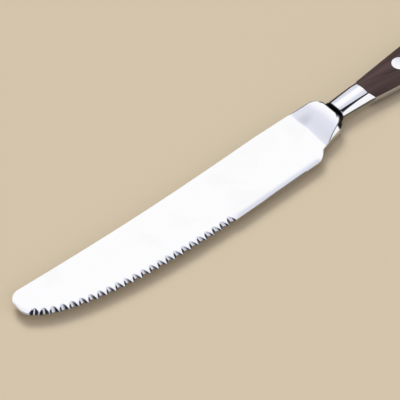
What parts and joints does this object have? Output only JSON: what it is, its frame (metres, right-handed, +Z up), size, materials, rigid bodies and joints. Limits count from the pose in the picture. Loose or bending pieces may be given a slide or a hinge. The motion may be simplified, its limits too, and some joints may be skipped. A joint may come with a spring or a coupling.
{
  "type": "steak knife",
  "caption": "Steak knife with a rounded tip, a serrated belly, a forged bolster and a full tang between riveted wood scales; cuts meat at the table.",
  "frame": {"origin": "under the middle of the knife's box, on the surface that it lies on", "axes": "+X from the tip to the butt, +Y from the cutting edge to the spine, +Z up from the table through the face with the serration"},
  "size_m": [0.254, 0.0234, 0.0066],
  "materials": {
    "polished_steel": "mirror-polished stainless steel",
    "handle_wood": "dark red-brown resin-stabilised wood, satin",
    "rivet_steel": "polished stainless steel"
  },
  "bodies": {
    "root": {"forged_blade": "polished_steel", "scale_upper": "handle_wood", "scale_lower": "handle_wood", "rivet_socket_front": "rivet_steel", "rivet_socket_middle": "rivet_steel", "rivet_socket_rear": "rivet_steel", "rivet_pin_front": "rivet_steel", "rivet_pin_middle": "rivet_steel", "rivet_pin_rear": "rivet_steel"}
  },
  "joints": []
}
